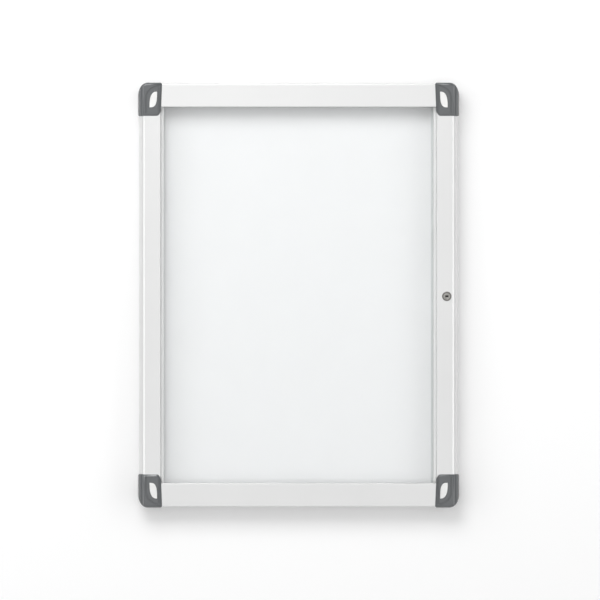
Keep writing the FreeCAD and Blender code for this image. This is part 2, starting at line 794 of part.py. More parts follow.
def hinge_seal():
    """Door seal on the hinge side, between the hinges."""
    outer = case_x - SEAL_INSET
    half = hinge_z - HINGE_HEIGHT / 2 - SEAL_INSET
    seal = block(outer - SEAL_WIDTH, outer, case_front, case_front + SEAL_THICKNESS, -half, half)
    return left_of(seal)


def lock_seal():
    """Narrow door seal on the lock side's short flange."""
    inner = case_x - (LOCK_FLANGE + LOCK_SEAL_WIDTH) / 2
    outer = inner + LOCK_SEAL_WIDTH
    return block(inner, outer, case_front, case_front + SEAL_THICKNESS, -block_z, block_z)


# Clamp strip and strike plate
def clamp_strip():
    """Flat strip that holds the panel's edge down on the lock side."""
    edge = case_x - CASE_WALL - PANEL_FIT
    strip = block(strip_x, edge, MIDDLE_LEVEL, flange_front, -strip_half, strip_half)
    return strip.cut(strip_screw_holes() + strike_screw_holes())


def strip_screw_points():
    """Places of the clamp strip's screws, spread evenly over its height."""
    last = strip_half - STRIP_SCREW_INSET
    heights = [last * (2 * i / (STRIP_SCREWS - 1) - 1) for i in range(STRIP_SCREWS)]
    return [at(strip_screw_x, flange_front, z) for z in heights]


def strip_screw_holes():
    """Holes of the clamp strip's screws, right through the strip, the panel and the case's lip."""
    return [pan_head_hole(point, TO_WALL, flange_front) for point in strip_screw_points()]


def clamp_screws():
    """Screws through the clamp strip and the panel into the case's rear lip."""
    length = flange_front - STRIP_SCREW_TIP
    return [pan_head(point, TO_WALL, length) for point in strip_screw_points()]


def strike_plate():
    """Bent plate on the clamp strip: a foot, and a hooked middle that the lock's cam goes behind."""
    half = STRIKE_FOOT_HEIGHT / 2
    foot_front = flange_front + STRIKE_WALL
    foot_edge = strike_x + STRIKE_FOOT
    foot = block(strike_x, foot_edge, flange_front, foot_front, LOCK_HEIGHT - half, LOCK_HEIGHT + half)
    web = strike_x + STRIKE_WALL
    catch_edge = strike_x + STRIKE_CATCH
    catch_front = strike_level + STRIKE_WALL
    steps = [
        (strike_x, catch_front),
        (catch_edge, catch_front),
        (catch_edge, strike_level),
        (web, strike_level),
        (web, foot_front),
    ]
    low = LOCK_HEIGHT - STRIKE_CATCH_HEIGHT / 2
    face = face_of((strike_x, foot_front), steps, lambda x, depth: at(x, depth, low))
    hook = face.extrude(at(0, 0, STRIKE_CATCH_HEIGHT))
    return foot.fuse(hook).cut(strike_screw_holes()).removeSplitter()


def strike_screw_points():
    """Places of the strike plate's two screws, above and below its catch."""
    x = strike_x + STRIKE_FOOT - STRIKE_SCREW_EDGE
    half = STRIKE_SCREW_SPACING / 2
    return [at(x, flange_front + STRIKE_WALL, LOCK_HEIGHT + side * half) for side in (-1, 1)]


def strike_screw_holes():
    """Holes of the strike plate's screws, in its foot and in the clamp strip."""
    return [pan_head_hole(point, TO_WALL, STRIKE_WALL + CASE_FLANGE) for point in strike_screw_points()]


def strike_screws():
    """Screws through the strike plate's foot into the clamp strip."""
    return [pan_head(point, TO_WALL, STRIKE_WALL + CASE_FLANGE) for point in strike_screw_points()]


# Hinges
def knuckle_spans(first):
    """Height ranges of every second knuckle of a hinge, from its middle."""
    tall = (HINGE_HEIGHT - (KNUCKLES - 1) * KNUCKLE_GAP) / KNUCKLES
    spans = []
    for i in range(first, KNUCKLES, 2):
        low = -HINGE_HEIGHT / 2 + i * (tall + KNUCKLE_GAP)
        spans.append((low, low + tall))
    return spans


def hinge_leaf(plate, clear, own, other, middle, screws):
    """Leaf of a hinge: a plate cut clear of the other leaf's knuckles, with its own on it."""
    axis = at(hinge_x, hinge_depth, middle)
    for low, high in knuckle_spans(other):
        plate = plate.cut(clear(middle + low - KNUCKLE_GAP, middle + high + KNUCKLE_GAP))
    for low, high in knuckle_spans(own):
        knuckle = [(low, KNUCKLE_RADIUS), (high, KNUCKLE_RADIUS)]
        plate = plate.fuse(faceted(knuckle, axis, Z_AXIS, KNUCKLE_SIDES))
    bore = [(-HINGE_HEIGHT, PIN_RADIUS + PIN_FIT), (HINGE_HEIGHT, PIN_RADIUS + PIN_FIT)]
    bore = faceted(bore, axis, Z_AXIS, PIN_SIDES)
    return plate.cut([bore] + screws).removeSplitter()


def case_leaf(end):
    """Hinge leaf on the outside of the case."""
    middle = end * hinge_z
    half = HINGE_HEIGHT / 2
    outer = -case_x - HINGE_PLATE
    plate = block(outer, -case_x, HINGE_FROM_WALL, hinge_depth, middle - half, middle + half)
    reach = KNUCKLE_RADIUS + HINGE_CLEARANCE
    clear = lambda z0, z1: block(outer - SPARE, -case_x + SPARE, hinge_depth - reach, door_front, z0, z1)
    screws = [case_leaf_screw(point, SCREW_FIT) for point in case_leaf_screw_points()]
    return hinge_leaf(plate, clear, 0, 1, middle, screws)


def door_leaf(end):
    """Hinge leaf on the back of the door's left stile."""
    middle = end * hinge_z
    half = HINGE_HEIGHT / 2
    near = door_rear - HINGE_PLATE
    plate = block(hinge_x, hinge_x + HINGE_REACH, near, door_rear, middle - half, middle + half)
    reach = KNUCKLE_RADIUS + HINGE_CLEARANCE
    clear = lambda z0, z1: block(hinge_x - SPARE, hinge_x + reach, 0, door_front, z0, z1)
    screws = [door_leaf_screw(point, SCREW_FIT) for point in door_leaf_screw_points()]
    return hinge_leaf(plate, clear, 1, 0, middle, screws)


def hinge_screw_heights():
    """Heights of the two screws in each leaf of both hinges."""
    return [end * hinge_z + i * HINGE_SCREW_OFFSET for end in (1, -1) for i in (-1, 1)]


def case_leaf_screw_points():
    """Places of the case leaves' screws, clear of the knuckles and of the middle flange."""
    depth = flange_front + SCREW_RADIUS
    return [at(-case_x - HINGE_PLATE, depth, z) for z in hinge_screw_heights()]


def door_leaf_screw_points():
    """Places of the door leaves' screws."""
    x = hinge_x + HINGE_REACH * 2 / 3
    return [at(x, door_rear - HINGE_PLATE, z) for z in hinge_screw_heights()]


def case_leaf_screw(point, grow=0.0):
    """Screw through a case leaf into the case's outer wall."""
    return countersunk(point, X_AXIS, SCREW_LENGTH, grow)


def door_leaf_screw(point, grow=0.0):
    """Screw through a door leaf into the back of the stile."""
    return countersunk(point, TO_ROOM, SCREW_LENGTH, grow)


def hinge_pin(end):
    """Hinge pin with a head at its top."""
    low = at(hinge_x, hinge_depth, end * hinge_z - HINGE_HEIGHT / 2)
    shank = [(0, PIN_RADIUS), (HINGE_HEIGHT, PIN_RADIUS)]
    head = [(HINGE_HEIGHT, PIN_HEAD_RADIUS), (HINGE_HEIGHT + PIN_HEAD_HEIGHT, PIN_HEAD_RADIUS)]
    return faceted(shank + head, low, Z_AXIS, PIN_SIDES)


# Cam lock
def lock_form(stations):
    """Many-sided solid on the lock's axis, through stations of depth and radius."""
    return faceted(stations, at(lock_x, 0, LOCK_HEIGHT), TO_ROOM, LOCK_SIDES)


def lock_rod(radius, depth0, depth1):
    """Rod on the lock's axis between two depths."""
    return lock_form([(depth0, radius), (depth1, radius)])


def lock_barrel():
    """Barrel of the lock: a head with a bevelled rim on the stile, and a body through it."""
    face = door_front + LOCK_HEAD_HEIGHT
    body = [(lock_end, LOCK_BODY_RADIUS), (door_front, LOCK_BODY_RADIUS)]
    head = [(door_front, LOCK_HEAD_RADIUS), (face - LOCK_HEAD_BEVEL, LOCK_HEAD_RADIUS)]
    rim = [(face, LOCK_HEAD_RADIUS - LOCK_HEAD_BEVEL)]
    bore = lock_rod(PLUG_RADIUS + PLUG_FIT, 0, face + SPARE)
    recess = lock_rod(PLUG_FACE_RADIUS + PLUG_FIT, face - PLUG_FACE_HEIGHT - PLUG_FIT, face + SPARE)
    return lock_form(body + head + rim).cut([bore, recess]).removeSplitter()


def lock_nut():
    """Hexagon nut that clamps the barrel from inside the stile."""
    front = door_front - DOOR_WALL
    corner = NUT_FLATS / math.sqrt(3)
    turns = [math.radians(90 + 60 * i) for i in range(6)]
    points = [
        at(lock_x + corner * math.cos(turn), front - NUT_HEIGHT, LOCK_HEIGHT + corner * math.sin(turn))
        for turn in turns
    ]
    hole = lock_rod(LOCK_BODY_RADIUS + PLUG_FIT, 0, door_front)
    return facet_of(points).extrude(at(0, NUT_HEIGHT, 0)).cut(hole)


def lock_block(half_width, half_height, depth0, depth1):
    """Box centred on the lock's axis between two depths."""
    low_z, high_z = LOCK_HEIGHT - half_height, LOCK_HEIGHT + half_height
    return block(lock_x - half_width, lock_x + half_width, depth0, depth1, low_z, high_z)


def lock_tail(grow, depth0, depth1):
    """Square tail of the plug that drives the cam, or its hole."""
    half = TAIL_SIDE / 2 + grow
    return lock_block(half, half, depth0, depth1)


def lock_plug():
    """Plug with its face, keyway and square tail."""
    face = door_front + LOCK_HEAD_HEIGHT
    shoulder = face - PLUG_FACE_HEIGHT
    plug = lock_rod(PLUG_RADIUS, cam_front, shoulder).fuse(lock_rod(PLUG_FACE_RADIUS, shoulder, face))
    plug = plug.fuse(lock_tail(0, cam_back, cam_front))
    keyway = lock_block(KEYWAY_WIDTH / 2, KEYWAY_HEIGHT / 2, face - KEYWAY_DEPTH, face + SPARE)
    hole = lock_rod(CAM_SCREW_RADIUS + SCREW_FIT, 0, cam_back + CAM_SCREW_LENGTH)
    return plug.cut([keyway, hole]).removeSplitter()


def lock_cam():
    """Flat cam, hanging down when the lock is open."""
    half = CAM_WIDTH / 2
    tip = LOCK_HEIGHT - cam_reach
    arm = block(lock_x - half, lock_x + half, cam_back, cam_front, tip, LOCK_HEIGHT)
    corners = [at(lock_x - half, 0, tip), at(lock_x + half, 0, tip)]
    arm = arm.makeFillet(half / 2, edges_along(arm, TO_ROOM, corners))
    hub = lock_rod(LOCK_BODY_RADIUS, cam_back, cam_front)
    return arm.fuse(hub).cut(lock_tail(SCREW_FIT, 0, door_front)).removeSplitter()


def cam_screw():
    """Screw that holds the cam on the plug's tail."""
    head = [(cam_back - PAN_HEAD_HEIGHT, CAM_SCREW_HEAD), (cam_back, CAM_SCREW_HEAD)]
    shank = [(cam_back, CAM_SCREW_RADIUS), (cam_back + CAM_SCREW_LENGTH, CAM_SCREW_RADIUS)]
    return lock_form(head + shank)


# Assembly
def corner_name(side, end):
    """Words for one of the four corners."""
    return ("top" if end > 0 else "bottom") + "_" + ("right" if side > 0 else "left")


def everything():
    """Every sub-part by name."""
    parts = {
        "case_profile_left": case_profile_left(),
        "case_profile_right": case_profile_right(),
        "case_profile_top": case_end(),
        "case_profile_bottom": below_of(case_end()),
        "panel_face_sheet": panel_sheet(panel_front - PANEL_SHEET, panel_front),
        "panel_core": panel_sheet(panel_back + PANEL_SHEET, panel_front - PANEL_SHEET),
        "panel_rear_sheet": panel_sheet(panel_back, panel_back + PANEL_SHEET),
        "seal_top": end_seal(),
        "seal_bottom": below_of(end_seal()),
        "seal_hinge_side": hinge_seal(),
        "seal_lock_side": lock_seal(),
        "clamp_strip": clamp_strip(),
        "clamp_screws": Part.makeCompound(clamp_screws()),
        "strike_plate": strike_plate(),
        "strike_screws": Part.makeCompound(strike_screws()),
        "door_stile_left": stile(-1),
        "door_stile_right": stile(1),
        "door_rail_top": rail(1),
        "door_rail_bottom": rail(-1),
        "pane": pane(),
        "gasket_left": left_of(side_gasket()),
        "gasket_right": side_gasket(),
        "gasket_top": end_gasket(),
        "gasket_bottom": below_of(end_gasket()),
        "lock_barrel": lock_barrel(),
        "lock_nut": lock_nut(),
        "lock_plug": lock_plug(),
        "lock_cam": lock_cam(),
        "cam_screw": cam_screw(),
    }
    door_screws = []
    for side in (1, -1):
        for end in (1, -1):
            name = corner_name(side, end)
            parts["case_block_" + name] = in_corner(case_block(), side, end)
            parts["corner_cap_" + name] = in_corner(corner_cap(), side, end)
            parts["leaf_inlay_" + name] = in_corner(leaf_inlay(), side, end)
            for point in (stile_screw_point(), rail_screw_point()):
                screw = countersunk(point, TO_ROOM, SCREW_LENGTH)
                door_screws.append(in_corner(screw, side, end))
    parts["door_corner_screws"] = Part.makeCompound(door_screws)
    for end, word in ((1, "upper"), (-1, "lower")):
        parts["hinge_case_leaf_" + word] = case_leaf(end)
        parts["hinge_door_leaf_" + word] = door_leaf(end)
        parts["hinge_pin_" + word] = hinge_pin(end)
    case_points = case_leaf_screw_points()
    door_points = door_leaf_screw_points()
    parts["hinge_case_screws"] = Part.makeCompound([case_leaf_screw(point) for point in case_points])
    parts["hinge_door_screws"] = Part.makeCompound([door_leaf_screw(point) for point in door_points])
    return parts


os.makedirs("parts", exist_ok=True)
for name, shape in everything().items():
    shape.exportStep("parts/" + name + ".step")
    print(name, len(shape.Solids), round(shape.Volume), shape.isValid())
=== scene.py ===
import math

import bmesh
import bpy
import numpy as np
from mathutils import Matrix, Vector


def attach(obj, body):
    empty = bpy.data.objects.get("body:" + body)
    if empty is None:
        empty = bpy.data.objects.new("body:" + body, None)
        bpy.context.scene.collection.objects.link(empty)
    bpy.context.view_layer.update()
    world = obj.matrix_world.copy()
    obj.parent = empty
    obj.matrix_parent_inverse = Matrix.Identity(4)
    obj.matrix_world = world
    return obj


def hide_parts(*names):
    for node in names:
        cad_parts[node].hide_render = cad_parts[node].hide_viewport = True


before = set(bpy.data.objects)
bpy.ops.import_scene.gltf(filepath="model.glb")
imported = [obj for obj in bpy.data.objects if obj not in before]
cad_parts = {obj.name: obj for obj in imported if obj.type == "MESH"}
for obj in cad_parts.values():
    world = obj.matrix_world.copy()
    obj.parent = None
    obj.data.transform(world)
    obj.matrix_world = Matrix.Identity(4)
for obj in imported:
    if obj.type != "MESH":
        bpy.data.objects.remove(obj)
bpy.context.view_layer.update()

MM = 0.001

# Camera: straight on, its view's width and centre in millimetres at the door's front
DOOR_FRONT = 40.0
VIEW_WIDTH = 987.7
LENS = 200.0
SENSOR = 36.0
VIEW_CENTRE = (2.3, -8.07)

# Finishes, as linear colours
ALUMINIUM = (0.747, 0.749, 0.747)
STRIKE_ALUMINIUM = (0.60, 0.62, 0.62)
CAP_GREY = (0.079, 0.085, 0.090)
BLOCK_GREY = (0.10, 0.105, 0.11)
INLAY_WHITE = (0.80, 0.80, 0.79)
PANEL_WHITE = (0.82, 0.825, 0.832)
CORE_TAN = (0.52, 0.43, 0.31)
REAR_STEEL = (0.62, 0.63, 0.64)
RUBBER = (0.035, 0.036, 0.038)
FOAM = (0.05, 0.05, 0.052)
NICKEL = (0.19, 0.186, 0.178)
PLUG_NICKEL = (0.36, 0.355, 0.335)
ZINC = (0.62, 0.63, 0.65)
# Black of the block in the lock's keyway: painted shade for the keyway's dark depth
KEYWAY_SHADE_BLACK = (0.02, 0.02, 0.02)
PANE_TINT = (0.992, 0.996, 0.995)

# Points closer than MERGE millimetres are one, and so are faces that bend by less than FLAT degrees
MERGE = 0.002
FLAT = 0.3

# Corner caps, as the top right one, in millimetres: sunk face, grooves round it, block under the leaf.
# The tools that cut them reach past the cap's face, to CUT_TOP and GROOVE_TOP.
CAP_FACE = 41.6
CUT_TOP = CAP_FACE + 3.0
FACE_FLOOR = 41.1
FACE_LEFT, FACE_LOW = 230.2, 299.3
FACE_RIGHT, FACE_ARC_FROM = 250.8, 325.4
FACE_ARC_MIDDLE, FACE_ARC_RISE = 224.5, 19.5
RISE_STEPS, ARC_STEPS, EDGE_STEPS = 12, 40, 24
GROOVE_WIDE, EDGE_WIDE = 2.4, 2.2
GROOVE_FLOOR, GROOVE_TOP = 40.25, CAP_FACE + 2.0
FLOOR_SHARE, SHOULDER_SHARE, SHOULDER_RISE = 0.75, 0.92, 0.2
FILLER_REACH, FILLER_LOW, FILLER_TOP = 2.5, 40.45, 41.35
CAP_BEND = 18

# Leaf inlays: each ring is a share of the outline and a depth, and the seat reaches a gap past the leaf
LEAF_CORNER, LEAF_SIZE = (233.0, 309.0), (12.4, 25.8)
LEAF_POWERS, LEAF_STEPS = (2.7, 3.3), 24
LEAF_GAP, LEAF_SEAT = 0.25, 40.55
LEAF_RINGS = ((1.0, 40.6), (1.0, 41.6), (0.97, 41.75), (0.87, 41.75), (0.8, 41.45))
LEAF_BEND = 35

# Lock: the barrel's and the ring's points are (radius, depth), in order round each section
LOCK_AXIS = (243.9, -2.0)
LOCK_SIDES = 96
BORE, SHANK, FLANGE = 4.67, 6.0, 7.75
BARREL_BACK, BARREL_FRONT, BORE_FRONT = 15.0, 41.5, 40.43
BARREL = (
    (BORE, BARREL_BACK), (SHANK, BARREL_BACK), (SHANK, DOOR_FRONT), (FLANGE, DOOR_FRONT),
    (FLANGE, 40.7), (7.6, 41.1), (7.25, 41.4), (6.9, BARREL_FRONT),
    (5.85, BARREL_FRONT), (5.67, 41.35), (5.67, BORE_FRONT), (BORE, BORE_FRONT),
)
BARREL_BEND = 40
PLUG_RING = ((2.9, 41.0), (3.1, 41.6), (3.5, 41.75), (4.2, 41.75), (4.6, 41.6), (4.8, 41.0))
PLUG_BEND = 35
KEYWAY_WIDE, KEYWAY_HIGH = 5.4, 2.6
KEYWAY_LOW, KEYWAY_TOP = 26.0, 43.0
# Painted shade: a black block that fills the keyway, with its play in it and its low and top depths
SHADE_BLOCK_PLAY, SHADE_BLOCK_LOW, SHADE_BLOCK_TOP = 0.1, 38.6, 40.2

# Wall and floor, in metres
ROOM_WIDE, ROOM_HIGH, ROOM_LOW, ROOM_OUT = 6.0, 4.0, -1.15, 5.0
WALL_GAP = 0.0004
WALL_TONE, WALL_LIFT = 0.9, 0.075
FLOOR_TONE, FLOOR_LIFT = 0.45, 0.6

# Lamps: degrees across and up, metres away, wide and high, and the level that white paper shows
LAMPS = {
    "key": (-16, 37, 3.0, 1.9, 1.5, 0.36),
    "front": (0, 0, 6.0, 3.0, 3.0, 0.05),
    "strip_left": (-57, 4, 3.0, 1.4, 2.8, 0.115),
    "strip_right": (57, 4, 3.0, 1.4, 2.8, 0.115),
}
ROOM_LEVEL = 0.525


# Shader maths
class Wire:
    """A node's output, on which arithmetic adds Math nodes to the same material."""

    def __init__(self, shade, socket):
        self.shade = shade
        self.socket = socket

    def math(self, operation, *values):
        """Adds a Math node."""
        return self.shade.node("ShaderNodeMath", {"operation": operation}, *values)

    def __add__(self, other):
        return self.math("ADD", self, other)

    def __mul__(self, other):
        return self.math("MULTIPLY", self, other)

    __radd__ = __add__
    __rmul__ = __mul__


class Shade:
    """Node tree of one material."""

    def __init__(self, name):
        self.material = bpy.data.materials.new(name)
        self.material.use_nodes = True
        self.tree = self.material.node_tree
        self.tree.nodes.clear()

    def node(self, kind, settings=None, *values, output=0, **sockets):
        """Adds a node: its settings first, then its sockets by place, None passing one over, or by name."""
        made = self.tree.nodes.new(kind)
        for key, value in (settings or {}).items():
            setattr(made, key, value)
        for place, value in enumerate(values):
            if value is not None:
                self.put(made.inputs[place], value)
        for key, value in sockets.items():
            self.put(made.inputs[key.replace("_", " ")], value)
        return Wire(self, made.outputs[output]) if made.outputs else None

    def put(self, socket, value):
        """Links a wire to a socket, or sets the socket's own value."""
        if isinstance(value, Wire):
            self.tree.links.new(value.socket, socket)
        elif isinstance(value, tuple) and len(value) == 3 and socket.type == "RGBA":
            socket.default_value = (*value, 1)
        else:
            socket.default_value = value

    def place(self, stretch=(1, 1, 1)):
        """Object coordinates in millimetres, stretched along each axis."""
        spot = self.node("ShaderNodeTexCoord", output="Object")
        scale = tuple(s / MM for s in stretch)
        return self.node("ShaderNodeMapping", None, Vector=spot, Scale=scale)

    def noise(self, scale, detail=2.0, stretch=(1, 1, 1)):
        """Soft noise whose scale counts features per millimetre."""
        return self.node(
            "ShaderNodeTexNoise", None, Vector=self.place(stretch), Scale=scale, Detail=detail
        )

    def ray(self, kind):
        """1 on rays of a kind, such as Camera or Shadow, and 0 on others."""
        return self.node("ShaderNodeLightPath", output=f"Is {kind} Ray")

    def mottled(self, colour, tone, darkest, lightest):
        """Colour that a tone from 0 to 1 takes from its darkest share to its lightest."""
        ends = (tinted(colour, darkest), tinted(colour, lightest))
        unused = [None] * 5
        return self.node("ShaderNodeMix", {"data_type": "RGBA"}, tone, *unused, *ends, output=2)

    def bump(self, height, strength, distance):
        """Bump whose distance is in millimetres."""
        return self.node(
            "ShaderNodeBump", None, Height=height, Strength=strength, Distance=distance * MM
        )

    def principled(self, **sockets):
        """Principled shader with its sockets by name."""
        return self.node("ShaderNodeBsdfPrincipled", None, **sockets)

    def mixed(self, factor, low, high):
        """Mix of two shaders."""
        return self.node("ShaderNodeMixShader", None, factor, low, high)

    def finish(self, shader):
        """The material, with the shader as its surface."""
        self.node("ShaderNodeOutputMaterial", None, Surface=shader)
        return self.material


def tinted(colour, share):
    """Colour made lighter or darker by a share."""
    return tuple(min(1.0, c * share) for c in colour)


def varied(middle, spread, noise):
    """Number that a noise from 0 to 1 moves about its middle, over a spread."""
    return middle - spread / 2 + noise * spread


# Finishes
def satin_metal(name, colour, metallic, roughness, grain):
    """Drawn and anodised aluminium: fine lines along the length and a faint cloudiness."""
    shade = Shade(name)
    lines = shade.noise(1.0, detail=3.0, stretch=grain)
    cloud = shade.noise(0.012)
    tone = lines * 0.5 + cloud * 0.5
    return shade.finish(
        shade.principled(
            Base_Color=shade.mottled(colour, tone, darkest=0.95, lightest=1.05),
            Metallic=metallic,
            Roughness=varied(roughness, 0.1, lines),
            Normal=shade.bump(lines, strength=0.25, distance=0.02),
        )
    )


def moulded_plastic(name, colour, roughness, grit=3.0, strength=0.3, gloss=0.5):
    """Moulded plastic with a fine spark-eroded grain."""
    shade = Shade(name)
    fine = shade.noise(grit)
    cloud = shade.noise(0.05)
    return shade.finish(
        shade.principled(
            Base_Color=shade.mottled(colour, cloud, darkest=0.9, lightest=1.1),
            Roughness=varied(roughness, 0.1, fine),
            Specular_IOR_Level=gloss,
            Normal=shade.bump(fine, strength, distance=0.04),
        )
    )


def enamel(name, colour):
    """White enamelled sheet: smooth, with a faint ripple in its gloss."""
    shade = Shade(name)
    ripple = shade.noise(0.02)
    return shade.finish(
        shade.principled(
            Base_Color=shade.mottled(colour, ripple, darkest=0.985, lightest=1.01),
            Roughness=varied(0.31, 0.06, ripple),
            Normal=shade.bump(ripple, strength=0.15, distance=0.05),
        )
    )


def clear_pane(name, tint):
    """Clear sheet that lets lamps through and mirrors a little of the room."""
    shade = Shade(name)
    smear = shade.noise(0.015, detail=3.0)
    glass = shade.principled(
        Base_Color=tint, Roughness=smear * 0.02, IOR=1.49, Transmission_Weight=1.0
    )
    through = shade.node("ShaderNodeBsdfTransparent", None, Color=tint)
    pane = shade.mixed(shade.ray("Shadow"), glass, through)
    return shade.finish(shade.mixed(shade.ray("Diffuse"), pane, through))


def plain_metal(name, colour, roughness, scale=0.6, metallic=1.0):
    """Plated or rolled metal with a mottled gloss."""
    shade = Shade(name)
    cloud = shade.noise(scale, detail=3.0)
    return shade.finish(
        shade.principled(
            Base_Color=shade.mottled(colour, cloud, darkest=0.88, lightest=1.1),
            Metallic=metallic,
            Roughness=varied(roughness, 0.12, cloud),
        )
    )


# Stretches of the noise that draw it out along one axis
ALONG_Z = (6.0, 6.0, 0.02)
ALONG_X = (0.02, 6.0, 6.0)
upright_aluminium = satin_metal("upright_aluminium", ALUMINIUM, metallic=0.6, roughness=0.3, grain=ALONG_Z)
level_aluminium = satin_metal("level_aluminium", ALUMINIUM, metallic=0.6, roughness=0.3, grain=ALONG_X)
strike_aluminium = satin_metal(
    "strike_aluminium", STRIKE_ALUMINIUM, metallic=0.7, roughness=0.42, grain=ALONG_Z
)
cap_plastic = moulded_plastic("cap_plastic", CAP_GREY, roughness=0.2, strength=0.1, gloss=1.0)
block_plastic = moulded_plastic("block_plastic", BLOCK_GREY, roughness=0.55)
inlay_plastic = moulded_plastic("inlay_plastic", INLAY_WHITE, roughness=0.3, strength=0.1)
panel_white = enamel("panel_white", PANEL_WHITE)
panel_core = moulded_plastic("panel_core", CORE_TAN, roughness=0.85, grit=1.0, strength=0.6)
rear_steel = plain_metal("rear_steel", REAR_STEEL, roughness=0.42, scale=0.15, metallic=0.4)
pane_clear = clear_pane("pane_clear", PANE_TINT)
gasket_rubber = moulded_plastic("gasket_rubber", RUBBER, roughness=0.6)
seal_foam = moulded_plastic("seal_foam", FOAM, roughness=0.9, grit=2.0, strength=0.8)
nickel = plain_metal("nickel", NICKEL, roughness=0.28)
plug_nickel = plain_metal("plug_nickel", PLUG_NICKEL, roughness=0.32)
# Black for the block in the keyway: painted shade
keyway_shade_black = moulded_plastic("keyway_shade_black", KEYWAY_SHADE_BLACK, roughness=0.5)
zinc_steel = plain_metal("zinc_steel", ZINC, roughness=0.36)

FINISH_OF_SLOT = {
    "profile_aluminium": upright_aluminium,
    "strike_aluminium": strike_aluminium,
    "cap_plastic": cap_plastic,
    "block_plastic": block_plastic,
    "inlay_plastic": inlay_plastic,
    "panel_white": panel_white,
    "panel_core": panel_core,
    "panel_rear_steel": rear_steel,
    "pane_clear": pane_clear,
    "gasket_rubber": gasket_rubber,
    "seal_foam": seal_foam,
    "lock_nickel": nickel,
    "zinc_steel": zinc_steel,
}

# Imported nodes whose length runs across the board
LEVEL_PROFILES = ("door_rail", "case_profile_top", "case_profile_bottom")


def dress_nodes():
    """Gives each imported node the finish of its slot, with the grain along its own length."""
    for name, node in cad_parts.items():
        slot = node.material_slots[0].material.name.split(".")[0]
        finish = FINISH_OF_SLOT[slot]
        if name.startswith(LEVEL_PROFILES):
            finish = level_aluminium
        for holder in node.material_slots:
            holder.material = finish


# New pieces
CORNERS = {
    "top_left": (-1, 1),
    "top_right": (1, 1),
    "bottom_left": (-1, -1),
    "bottom_right": (1, -1),
}


def placed(name, shown):
    """Object at the origin that shows a mesh, a lamp or a camera."""
    made = bpy.data.objects.new(name, shown)
    bpy.context.scene.collection.objects.link(made)
    return made


def face_outwards(mesh, flatten=False):
    """Merges doubles, joins the faces that lie in one plane where asked, and turns all outwards."""
    shape = bmesh.new()
    shape.from_mesh(mesh)
    bmesh.ops.remove_doubles(shape, verts=shape.verts, dist=MERGE * MM)
    if flatten:
        bend = math.radians(FLAT)
        bmesh.ops.dissolve_limit(shape, angle_limit=bend, verts=shape.verts, edges=shape.edges)
    bmesh.ops.recalc_face_normals(shape, faces=shape.faces)
    shape.to_mesh(mesh)
    shape.free()


def solid(name, points, faces):
    """Closed piece from points in millimetres, each as across, out from the wall and up."""
    mesh = bpy.data.meshes.new(name)
    mesh.from_pydata(np.asarray(points, dtype=float) * (MM, -MM, MM), [], faces)
    face_outwards(mesh)
    return placed(name, mesh)


def loft(name, rings, looped=False):
    """Skin over an array of rings of points, with flat ends, or looped back to the first ring.

    Each face joins a spot and the next one on a ring to the same two on the ring after it.
    """
    count, around, _ = rings.shape
    bands = count if looped else count - 1
    ring, spot = np.meshgrid(np.arange(bands), np.arange(around), indexing="ij")
    below, above = ring * around, (ring + 1) % count * around
    beside = (spot + 1) % around
    quads = np.stack([below + spot, below + beside, above + beside, above + spot], axis=-1)
    faces = quads.reshape(-1, 4).tolist()
    if not looped:
        points = list(range(count * around))
        faces += [points[:around], points[-around:]]
    return solid(name, rings.reshape(-1, 3), faces)


def swept(name, path, section):
    """A section carried along a path in the door's plane.

    A path point is (across, up), a section point is (offset square to the path, out from the
    wall), and the square is the path's own direction turned a quarter.
    """
    run = np.gradient(path, axis=0)
    run /= np.linalg.norm(run, axis=1)[:, None]
    square = np.stack([run[:, 1], -run[:, 0]], axis=1)
    flat = path[:, None, :] + square[:, None, :] * section[None, :, :1]
    out = np.broadcast_to(section[None, :, 1], flat.shape[:2])
    return loft(name, np.stack([flat[..., 0], out, flat[..., 1]], axis=-1))


def prism(name, outline, low, high):
    """An outline, as points (across, up), carried from one depth to another."""
    rings = [np.insert(outline, 1, depth, axis=1) for depth in (low, high)]
    return loft(name, np.array(rings))


def box(name, middle, wide, high, low, top):
    """Block square to the wall, from one depth to another."""
    x, z = middle
    left, right, foot, head = x - wide / 2, x + wide / 2, z - high / 2, z + high / 2
    outline = np.array([(left, foot), (right, foot), (right, head), (left, head)])
    return prism(name, outline, low, top)


def turned(name, profile, axis):
    """Profile of (radius, depth) turned round an axis square to the wall: x = r cos t, z = r sin t."""
    turn = np.arange(LOCK_SIDES) * 2 * math.pi / LOCK_SIDES
    radius, depth = np.split(np.array(profile), 2, axis=1)
    x, z = axis[0] + radius * np.cos(turn), axis[1] + radius * np.sin(turn)
    return loft(name, np.stack([x, np.broadcast_to(depth, x.shape), z], axis=-1), looped=True)


def quarter(centre, wide, high, steps, power=2.0):
    """Quarter turn from the right round to the top: x = wide cos^(2/p) t, z = high sin^(2/p) t."""
    turn = np.linspace(0, math.pi / 2, steps)
    x = centre[0] + wide * np.cos(turn).clip(0) ** (2 / power)
    z = centre[1] + high * np.sin(turn).clip(0) ** (2 / power)
    return np.stack([x, z], axis=1)


def straight(start, end, steps):
    """Even points from start up to, but not at, the end."""
    share = np.linspace(0, 1, steps, endpoint=False)[:, None]
    return np.array(start) + share * (np.array(end) - np.array(start))


def mirrored(shape, side, end):
    """Turns a top right shape into the one of another corner."""
    mesh = shape.data
    spots = np.empty(len(mesh.vertices) * 3)
    mesh.vertices.foreach_get("co", spots)
    mesh.vertices.foreach_set("co", (spots.reshape(-1, 3) * (side, 1, end)).ravel())
    face_outwards(mesh)
    return shape


